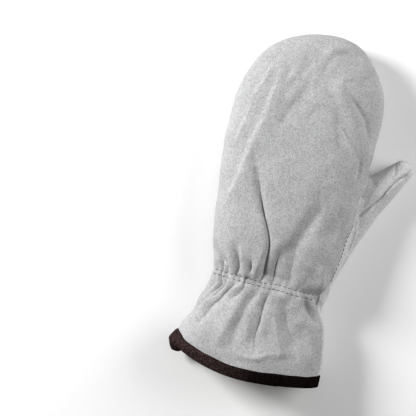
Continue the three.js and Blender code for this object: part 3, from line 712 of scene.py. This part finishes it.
def make_skin():
    """The leather's outside without its folds, and which of its points are the thumb's."""
    outside = body_form(lambda way: 0 * way, BODY_COLUMNS, SKIN_STEP, BEFORE_HEM)
    thumb = thumb_form(0, THUMB_COLUMNS, SKIN_STEP)
    skin = fused("leather_skin", [outside, thumb], VOXEL)
    refine(skin, crisp_places(points_of(skin), normals_of(skin)))
    points = points_of(skin)
    beside = (points[:, 0] > 30) & (points[:, 1] > 85) & (points[:, 1] < 222)
    off_body = np.zeros(len(points))
    off_thumb = np.full(len(points), 40.0)
    off_body[beside] = distance_to(outside[0][outside[0][:, 0] > 10], points[beside])
    off_thumb[beside] = distance_to(thumb[0], points[beside])
    joint = np.exp(-((np.maximum(off_body, off_thumb) / 5) ** 2))
    joint = joint * (1 - 0.75 * smooth((points[:, 1] - 150) / 25))
    points = relax(skin, points, joint, 30)
    set_points(skin, points)
    on_thumb = off_body > 1.6
    return skin, points, on_thumb


def fold_skin(skin, points, on_thumb):
    """Pushes the folds, the seams' grooves and small unevenness into the leather."""
    normals = normals_of(skin)
    x, y, z = points.T
    at = y / LENGTH
    seam_z = seam_height(y)
    up = smooth(normals[:, 2] / 0.45 + 0.1) * (z > seam_z)
    down = smooth(-normals[:, 2] / 0.45)
    fade_tip = 1 - 0.5 * smooth((at - 0.97) / 0.03)
    body = ~on_thumb
    push = np.zeros(len(points))
    push += back_push(x, y) * up * body * fade_tip
    push += fold_push(PALM_FOLDS, x, y) * down * body
    flat = smooth((z - 0.6) / 3)
    for size, depth, seed in UNEVEN:
        push += depth * wave_noise(points, size, seed) * flat
    push += fold_push(THUMB_FOLDS, x, y) * smooth(normals[:, 2] / 0.45) * on_thumb
    pucker = np.exp(-(((y - ELASTIC_AT) / PUCKER_REACH) ** 2)) * up * body
    push += PUCKER * pucker * np.sin(x * 1.15 + 1.6 * np.sin(x * 0.23))
    for line in ELASTIC_ROWS:
        sewn = line_distance(points, line)
        push += ROW_DEPTH * np.exp(-((sewn / ROW_WIDTH) ** 2)) * up * body
        for hole in stitch_places(line, ELASTIC_PITCH, ELASTIC_PITCH - 0.3)[0]:
            close = np.abs(x - hole[0]) < NEEDLE_REACH
            off_hole = ((x - hole[0])**2 + (y - hole[1])**2)[close]
            push[close] += NEEDLE_DEPTH * np.exp(-(off_hole / NEEDLE**2)) * up[close]
    push += seam_push(points, normals, on_thumb, seam_z)
    moved = points - normals * push[:, None]
    moved[:, 2] = np.maximum(moved[:, 2], 0.0)
    creases = [curved(fold[3]) for fold in BACK_FOLDS if fold[2] <= CRISP]
    for crease in creases:
        crease[:, 2] = smooth(crease[:, 2] / DEEP)
    moved = pinched(moved, creases, PINCH_REACH, PINCH, up * body)
    seams = [np.array([(*place, 1.0) for place in line])
             for line in (THUMB_SEAM, seam_line(BACK_SEAM, 80, SIDE_SEAM_END * LENGTH))]
    moved = pinched(moved, seams, SEAM_PINCH_REACH, PINCH, smooth(normals[:, 2] / 0.2))
    set_points(skin, moved)
    return moved


def seam_push(points, normals, on_thumb, seam_z):
    """How far the seams push the leather in. The welt over the crotch stands out."""
    x, y, z = points.T
    at = y / LENGTH
    lean_x = np.sqrt(np.clip(1 - normals[:, 0] ** 2, 0.05, 1))
    lean_z = np.sqrt(np.clip(1 - normals[:, 2] ** 2, 0.05, 1))
    back = np.abs(x - along(BACK_SEAM, "x", at) * HAND_WIDTH) / lean_x
    palm = np.abs(x - along(PALM_SEAM, "x", at) * HAND_WIDTH) / lean_x
    side = np.abs(z - seam_z) / lean_z
    low = at < CROTCH_AT
    right = x > along(PALM_SEAM, "x", at) * HAND_WIDTH
    shown = (at < SIDE_SEAM_END) & (z > seam_z + np.where(low, STRIP_HEIGHT, 1)) & ~on_thumb
    push = groove(back, *GROOVES["back"]) * shown
    push += groove(palm, *GROOVES["palm"]) * (low & (z < seam_z) & (normals[:, 2] < 0))
    push += groove(side, *GROOVES["side"]) * ~on_thumb * ~(low & right)
    thumb = line_distance(points, THUMB_SEAM)
    push += groove(thumb, *GROOVES["thumb"]) * (on_thumb & (normals[:, 2] > 0.1))
    welt = line_distance(points, WELT)
    push -= WELT_HEIGHT * np.exp(-((welt / WELT_WIDTH) ** 2)) * (normals[:, 2] > 0.1)
    return push


def part_skin(skin, on_thumb):
    """Which panel each face of the unfolded skin belongs to: 0 back, 1 palm, 2 thumb, -1 none."""
    count = len(skin.data.polygons)
    middle = np.empty(count * 3)
    skin.data.polygons.foreach_get("center", middle)
    middle = middle.reshape(-1, 3) * 1000 - SHIFT
    x, y, z = middle.T
    at = y / LENGTH
    seam_z = seam_height(y)
    back_x = along(BACK_SEAM, "x", at) * HAND_WIDTH
    palm_x = along(PALM_SEAM, "x", at) * HAND_WIDTH
    low = at < CROTCH_AT
    strip = (z < seam_z + STRIP_HEIGHT) & (x > back_x - STRIP_REACH)
    wing = low & np.where(z > seam_z, (x > back_x) | strip, x > palm_x)
    corners = np.array([on_thumb[list(p.vertices)].mean() for p in skin.data.polygons])
    panel = np.where(wing | (corners > 0.6), 2, np.where(z < seam_z, 1, 0))
    panel[y < hem_rise(hem_angle(middle)) - 0.4] = -1
    return panel


def panel_of(skin, name, faces):
    """A copy of the skin that keeps only the given faces."""
    obj = bpy.data.objects.new(name, skin.data.copy())
    bpy.context.scene.collection.objects.link(obj)
    mesh = bmesh.new()
    mesh.from_mesh(obj.data)
    mesh.faces.ensure_lookup_table()
    gone = [face for face, keep in zip(mesh.faces, faces) if not keep]
    bmesh.ops.delete(mesh, geom=gone, context="FACES")
    mesh.to_mesh(obj.data)
    mesh.free()
    return obj


def hem_angle(points):
    """Angle round the cuff's section for points on it."""
    at = points[:, 1] / LENGTH
    half = along(SECTIONS, "width", at) / 2
    across = np.clip((points[:, 0] - along(SECTIONS, "mid", at) * HAND_WIDTH) / half, -1, 1)
    turn = np.arccos(np.sign(across) * np.abs(across) ** (BACK_ROUND / 2))
    side = along(SECTIONS, "side", at) * back_top(across, at)
    return np.where(points[:, 2] >= side, turn, 2 * math.pi - turn)


def wall(obj, thickness):
    """Gives a sheet its thickness, inwards."""
    solidify = obj.modifiers.new("wall", "SOLIDIFY")
    solidify.thickness = thickness / 1000
    solidify.offset = -1
    apply_modifiers(obj)


skin, plain_points, on_thumb = make_skin()
panels = part_skin(skin, on_thumb)
folded_points = fold_skin(skin, plain_points, on_thumb)
skin_tree = BVHTree.FromPolygons([Vector(p) for p in folded_points],
                                 [tuple(p.vertices) for p in skin.data.polygons])
leather = {}
for index, panel_name in enumerate(("back_panel", "palm_panel", "thumb_panel")):
    panel = panel_of(skin, panel_name + "_leather", panels == index)
    wall(panel, LEATHER_WALL)
    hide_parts(panel_name)
    leather[panel_name] = panel
bpy.data.objects.remove(skin)


def on_skin(x, y):
    """Point and normal on the back of the leather over a place in plan."""
    place, normal, _, _ = skin_tree.ray_cast(Vector((x, y, 100)), Vector((0, 0, -1)))
    return place and (np.array(place), np.array(normal))


# Binding: a tape folded over the hem, whose end laps over its start on the back

TAPE_PROFILE = [
    (-0.10, 1.00), (-0.62, 0.98), (-0.95, 0.90), (-1.05, 0.50), (-1.00, 0.10), (-0.85, -0.06),
    (-0.30, -0.14), (0.80, -0.15), (3.20, -0.15), (4.30, -0.12), (4.90, 0.00), (5.05, 0.50), (4.95, 0.92),
    (4.60, 0.99), (3.90, 1.00), (3.80, 0.50), (3.70, 0.02), (1.80, -0.02), (0.10, 0.00), (0.10, 0.50),
]
LAP_START = 1.15
LAP = 0.10
CORNER_TAPE = 4


def make_tape():
    along_tape = np.linspace(0, 2 * math.pi + LAP, TAPE_COLUMNS)
    angle = LAP_START + along_tape
    lifted = TAPE * (smooth((along_tape - 2 * math.pi) / 0.02 + 1.0))
    rings = []
    for inset, edge in TAPE_PROFILE:
        ripple = 0.12 * np.sin(9 * angle) + 0.08 * np.sin(23 * angle + 1)
        shift = np.where(inset < 0.5, -lifted, 0.0)
        layer = (inset - 0.25 + shift + ripple * (inset < 0))
        width = TAPE_WIDTH + 0.25 * np.sin(7 * angle) + 0.15 * np.sin(17 * angle)
        width = width + (CORNER_TAPE * at_corner(angle, 2 * CORNER_SPREAD) if inset > 0.5 else 0)
        way = np.maximum(edge, 0) * width
        point = body_point(angle, way / LENGTH / TIP_START, lambda _way: layer)
        point[:, 1] += min(edge, 0) * TAPE_WIDTH
        rings.append(point)
    rings = np.stack(rings)
    rows, columns = rings.shape[:2]
    faces = []
    for r in range(rows):
        n = (r + 1) % rows
        for c in range(columns - 1):
            faces.append([r * columns + c, n * columns + c, n * columns + c + 1, r * columns + c + 1])
    faces.append([r * columns for r in range(rows)])
    faces.append([r * columns + columns - 1 for r in reversed(range(rows))])
    return make_mesh("suede_tape", rings, faces)


tape = make_tape()
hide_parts("edge_binding")


# Lining: curly pile on the walls of the hollow

# Least depth of the lining's inner face under the leather's outside, seen from above. It holds
# from TUCK_FROM along the mitt on, and looks as far as TUCK_REACH to both sides.
TUCK = 3.4
TUCK_REACH = 1.5
TUCK_FROM = 30
PILE_RUN = 16
CURL = 6.5
CURL_HEIGHT = 1.1
CORNER_CUT = 6
EDGE_CUT = 0.6


def pile_depth(way):
    """Depth of the pile's inner face under the outside, which grows from the hem on."""
    return LEATHER + GAP + PILE_AT_HEM + (PILE - PILE_AT_HEM) * smooth((way - TAPE_WIDTH) / PILE_RUN)


def make_lining():
    hand = body_form(pile_depth, LINING_COLUMNS, LINING_STEP, 0)
    thumb = thumb_form(LEATHER + GAP + THUMB_PILE, THUMB_LINING_COLUMNS, LINING_STEP)
    inside = fused("pile", [hand, thumb], LINING_VOXEL)
    points = points_of(inside)
    normals = normals_of(inside)
    x, y, _ = points.T
    push = (back_push(x, y) + 0.8) * smooth(normals[:, 2] / 0.45)
    curls = wave_noise(points + 2.5 * wave_noise(points, 11, 5)[:, None], CURL, 6, 2)
    depth = smooth((y - hem_rise(hem_angle(points)) - TAPE_WIDTH) / 6)
    push += (CURL_HEIGHT * np.abs(curls) - 0.5) * depth
    moved = points - normals * push[:, None]
    for i in np.flatnonzero((normals[:, 2] > 0.25) & (y > TUCK_FROM)):
        over = [on_skin(moved[i, 0] + dx, moved[i, 1]) for dx in (-TUCK_REACH, 0, TUCK_REACH)]
        moved[i, 2] = min([moved[i, 2]] + [hit[0][2] - TUCK for hit in over if hit])
    count = len(inside.data.polygons)
    corners = np.empty(count * 4, np.int64)
    inside.data.polygons.foreach_get("vertices", corners)
    corners = corners.reshape(-1, 4)
    middle = points[corners].mean(1)
    turn = hem_angle(middle)
    edge = hem_rise(turn) + EDGE_CUT + CORNER_CUT * at_corner(turn, 1.2 * CORNER_SPREAD)
    kept = middle[:, 1] > edge
    used, place = np.unique(corners[kept][:, ::-1], return_inverse=True)
    bpy.data.objects.remove(inside)
    lining = make_mesh("curly_pile", moved[used], place.reshape(-1, 4))
    wall(lining, PILE_WALL)
    return lining


lining = make_lining()
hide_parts("pile_lining")


# Stitches: short thick dashes of thread on the leather

def dash(points, faces, start, end, radius):
    """Adds one stitch, which dips into the leather at both ends, where there is leather."""
    steps, sides = 5, 6
    shares = np.linspace(0, 1, steps)
    spots = [on_skin(*(start + (end - start) * s)) for s in shares]
    if not all(spots):
        return
    first = sum(len(p) for p in points)
    ring = np.linspace(0, 2 * math.pi, sides, endpoint=False)
    rows = []
    for s, (p, normal) in zip(shares, spots):
        direction = np.array([*(end - start), 0.0])
        direction /= np.linalg.norm(direction)
        across = np.cross(direction, normal)
        lift = radius * (0.9 - 2.2 * (2 * s - 1) ** 4)
        size = radius * (1 - 0.35 * (2 * s - 1) ** 2)
        centre = p + normal * lift
        rows.append(centre + size * (np.cos(ring)[:, None] * across + np.sin(ring)[:, None] * normal))
    points.append(np.vstack(rows))
    faces += [list(f) for f in grid_faces(steps, sides, first)]
    faces.append([first + i for i in reversed(range(sides))])
    faces.append([first + (steps - 1) * sides + i for i in range(sides)])


def make_stitches(name, lines, pitch, length, radius):
    """Rows of stitches as one piece."""
    points, faces = [], []
    for line in lines:
        starts, ends = stitch_places(line, pitch, length)
        for start, end in zip(starts, ends):
            dash(points, faces, start, end, radius)
    return make_mesh(name, np.vstack(points), faces)


stitches = make_stitches("elastic_stitches", ELASTIC_ROWS, ELASTIC_PITCH, ELASTIC_STITCH, ELASTIC_THREAD)
seam_stitches = make_stitches("seam_stitches", [seam_line(BACK_SEAM, SEAM_FROM, SEAM_TO)],
                              SEAM_PITCH, SEAM_STITCH, SEAM_THREAD)


# Materials, with the scales of their patterns in cells or bumps to the metre

FLECKS = 1500
NAP = 1700
PATCHES = 55


def nodes_of(name):
    material = bpy.data.materials.new(name)
    material.use_nodes = True
    tree = material.node_tree
    shader = tree.nodes["Principled BSDF"]
    return material, tree, shader


def add(tree, kind, **values):
    node = tree.nodes.new(kind)
    for key, value in values.items():
        if key in node.inputs:
            node.inputs[key].default_value = value
        else:
            setattr(node, key, value)
    return node


def noise_of(tree, coords, scale, detail, roughness=0.6):
    node = add(tree, "ShaderNodeTexNoise", Scale=scale, Detail=detail, Roughness=roughness)
    tree.links.new(coords.outputs["Object"], node.inputs["Vector"])
    return node.outputs["Fac"]


def flecks_of(tree, coords, scale):
    """A random value for each small cell."""
    cells = add(tree, "ShaderNodeTexVoronoi", Scale=scale)
    tree.links.new(coords.outputs["Object"], cells.inputs["Vector"])
    return cells.outputs["Color"]


def ramp_of(tree, source, stops):
    node = tree.nodes.new("ShaderNodeValToRGB")
    elements = node.color_ramp.elements
    for element, (place, colour) in zip(elements, stops[:2]):
        element.position = place
        element.color = (*colour, 1)
    for place, colour in stops[2:]:
        elements.new(place).color = (*colour, 1)
    tree.links.new(source, node.inputs["Fac"])
    return node.outputs["Color"]


def suede(name, dark, light, bump, sheen, gloss, shade=None):
    """Napped leather: a fine speckle over soft patches, with raised fibres. Shade is painted shade
    across the part: where along x the colour starts and ends to darken, and how dark it is there."""
    material, tree, shader = nodes_of(name)
    coords = tree.nodes.new("ShaderNodeTexCoord")
    speckle = ramp_of(tree, flecks_of(tree, coords, FLECKS), [(0.2, dark), (0.8, light)])
    patches = ramp_of(tree, noise_of(tree, coords, PATCHES, 5), [(0.25, (0.86,) * 3), (0.75, (1.0,) * 3)])
    mix = add(tree, "ShaderNodeMix", data_type="RGBA", blend_type="MULTIPLY")
    mix.inputs["Factor"].default_value = 1.0
    tree.links.new(speckle, mix.inputs["A"])
    tree.links.new(patches, mix.inputs["B"])
    colour = mix.outputs["Result"]
    # Painted shade: the colour is scaled from 1 down to shade[2] between x at shade[0] and shade[1].
    if shade:
        split = tree.nodes.new("ShaderNodeSeparateXYZ")
        tree.links.new(coords.outputs["Object"], split.inputs[0])
        turn = add(tree, "ShaderNodeMapRange")
        ends = {"From Min": shade[0], "From Max": shade[1], "To Min": 1.0, "To Max": shade[2]}
        for socket, value in ends.items():
            turn.inputs[socket].default_value = value
        tree.links.new(split.outputs["X"], turn.inputs["Value"])
        painted_shade = add(tree, "ShaderNodeVectorMath", operation="SCALE")
        tree.links.new(colour, painted_shade.inputs[0])
        tree.links.new(turn.outputs["Result"], painted_shade.inputs["Scale"])
        colour = painted_shade.outputs["Vector"]
    tree.links.new(colour, shader.inputs["Base Color"])
    raised = add(tree, "ShaderNodeBump", Strength=bump, Distance=0.001)
    tree.links.new(noise_of(tree, coords, NAP, 3, 0.7), raised.inputs["Height"])
    tree.links.new(raised.outputs["Normal"], shader.inputs["Normal"])
    shader.inputs["Roughness"].default_value = 0.95
    shader.inputs["Specular IOR Level"].default_value = gloss
    shader.inputs["Sheen Weight"].default_value = sheen
    shader.inputs["Sheen Roughness"].default_value = 0.6
    return material


def fleece():
    material, tree, shader = nodes_of("cream_pile")
    coords = tree.nodes.new("ShaderNodeTexCoord")
    colour = ramp_of(tree, noise_of(tree, coords, 260, 4),
                     [(0.30, (0.52, 0.49, 0.34)), (0.62, (0.86, 0.83, 0.72))])
    tree.links.new(colour, shader.inputs["Base Color"])
    raised = add(tree, "ShaderNodeBump", Strength=0.8, Distance=0.0012)
    tree.links.new(noise_of(tree, coords, 900, 5, 0.7), raised.inputs["Height"])
    tree.links.new(raised.outputs["Normal"], shader.inputs["Normal"])
    shader.inputs["Roughness"].default_value = 1.0
    shader.inputs["Sheen Weight"].default_value = 0.4
    return material


def thread():
    material, tree, shader = nodes_of("dark_thread")
    coords = tree.nodes.new("ShaderNodeTexCoord")
    colour = ramp_of(tree, noise_of(tree, coords, 1500, 2),
                     [(0.3, (0.02, 0.02, 0.022)), (0.7, (0.07, 0.07, 0.075))])
    tree.links.new(colour, shader.inputs["Base Color"])
    shader.inputs["Roughness"].default_value = 0.7
    return material


grey_suede = suede("grey_suede", (0.315, 0.315, 0.318), (0.505, 0.505, 0.51),
                   bump=0.25, sheen=0.05, gloss=0.15)
# Painted shade: the tape's colour darkens towards its right.
dark_suede = suede("dark_suede", (0.006, 0.004, 0.004), (0.065, 0.040, 0.040),
                   bump=0.8, sheen=0.0, gloss=0.0, shade=(-0.050, -0.010, 0.18))
# Painted light: the thumb, which lies in the hand's shade, gets a lighter copy of the grey suede.
painted_light_suede = suede("painted_light_suede", (0.43, 0.43, 0.433), (0.68, 0.68, 0.685),
                    bump=0.25, sheen=0.05, gloss=0.15)
for panel in leather.values():
    panel.data.materials.append(painted_light_suede if panel is leather["thumb_panel"] else grey_suede)
    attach(panel, "root")
tape.data.materials.append(dark_suede)
lining.data.materials.append(fleece())
dark_thread = thread()
for piece in (stitches, seam_stitches):
    piece.data.materials.append(dark_thread)
for piece in (tape, lining, stitches, seam_stitches):
    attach(piece, "root")


# Floor, light and camera. The floor and the lights are in metres and watts.

FLOOR_SIZE = 6
LIGHT_TARGET = (0, 0, 0.02)
LIGHTS = {
    "key": {"place": (-0.98, 0.28, 0.56), "size": 0.35, "power": 19},
    "fill": {"place": (0.92, 0.50, 0.58), "size": 0.9, "power": 12.5},
    "over": {"place": (0.10, 0.10, 1.60), "size": 1.0, "power": 3.5},
}
WORLD_LIGHT = 0.03


def make_floor():
    bpy.ops.mesh.primitive_plane_add(size=FLOOR_SIZE, location=(0, 0, -0.0005))
    floor = bpy.context.object
    floor.name = "floor"
    material, _, shader = nodes_of("pale_floor")
    shader.inputs["Base Color"].default_value = (0.9, 0.9, 0.9, 1)
    shader.inputs["Roughness"].default_value = 0.9
    floor.data.materials.append(material)


def make_light(name, place, size, power):
    data = bpy.data.lights.new(name, "AREA")
    data.size = size
    data.energy = power
    light = bpy.data.objects.new(name, data)
    light.location = place
    light.rotation_euler = (Vector(LIGHT_TARGET) - Vector(place)).to_track_quat("-Z", "Y").to_euler()
    bpy.context.scene.collection.objects.link(light)


# The photograph is 416 pixels square. The middle of the cuff's lower edge is at ORIGIN_PIXEL
# in it, ORIGIN_RISE millimetres over the lowest place of the tape. The mitt leans LEAN to the
# right, and a pixel is PIXEL millimetres.
PICTURE = 416
ORIGIN_PIXEL = (246, 366)
LEAN = math.radians(12.6)
PIXEL = 0.87
ORIGIN_RISE = 10
CAMERA_WAY = 1.15
CAMERA_LEVEL = 0.020
SENSOR = 36


def make_camera():
    right = Vector((math.cos(LEAN), math.sin(LEAN), 0))
    up = Vector((-math.sin(LEAN), math.cos(LEAN), 0))
    sideways = (PICTURE / 2 - ORIGIN_PIXEL[0]) * PIXEL
    upwards = (ORIGIN_PIXEL[1] - PICTURE / 2) * PIXEL
    middle = right * sideways + up * upwards + Vector((0, ORIGIN_RISE, 0))
    middle = (middle + Vector(SHIFT)) / 1000
    data = bpy.data.cameras.new("camera")
    data.sensor_width = SENSOR
    data.lens = SENSOR * CAMERA_WAY / (PICTURE * PIXEL / 1000)
    camera = bpy.data.objects.new("camera", data)
    camera.location = (middle.x, middle.y, CAMERA_LEVEL + CAMERA_WAY)
    camera.rotation_euler = (0, 0, LEAN)
    bpy.context.scene.collection.objects.link(camera)
    bpy.context.scene.camera = camera


make_floor()
for light_name, light in LIGHTS.items():
    make_light(light_name, **light)
world = bpy.data.worlds.new("world")
world.use_nodes = True
world.node_tree.nodes["Background"].inputs["Color"].default_value = (1, 1, 1, 1)
world.node_tree.nodes["Background"].inputs["Strength"].default_value = WORLD_LIGHT
bpy.context.scene.world = world
bpy.context.scene.view_settings.view_transform = "Standard"
make_camera()
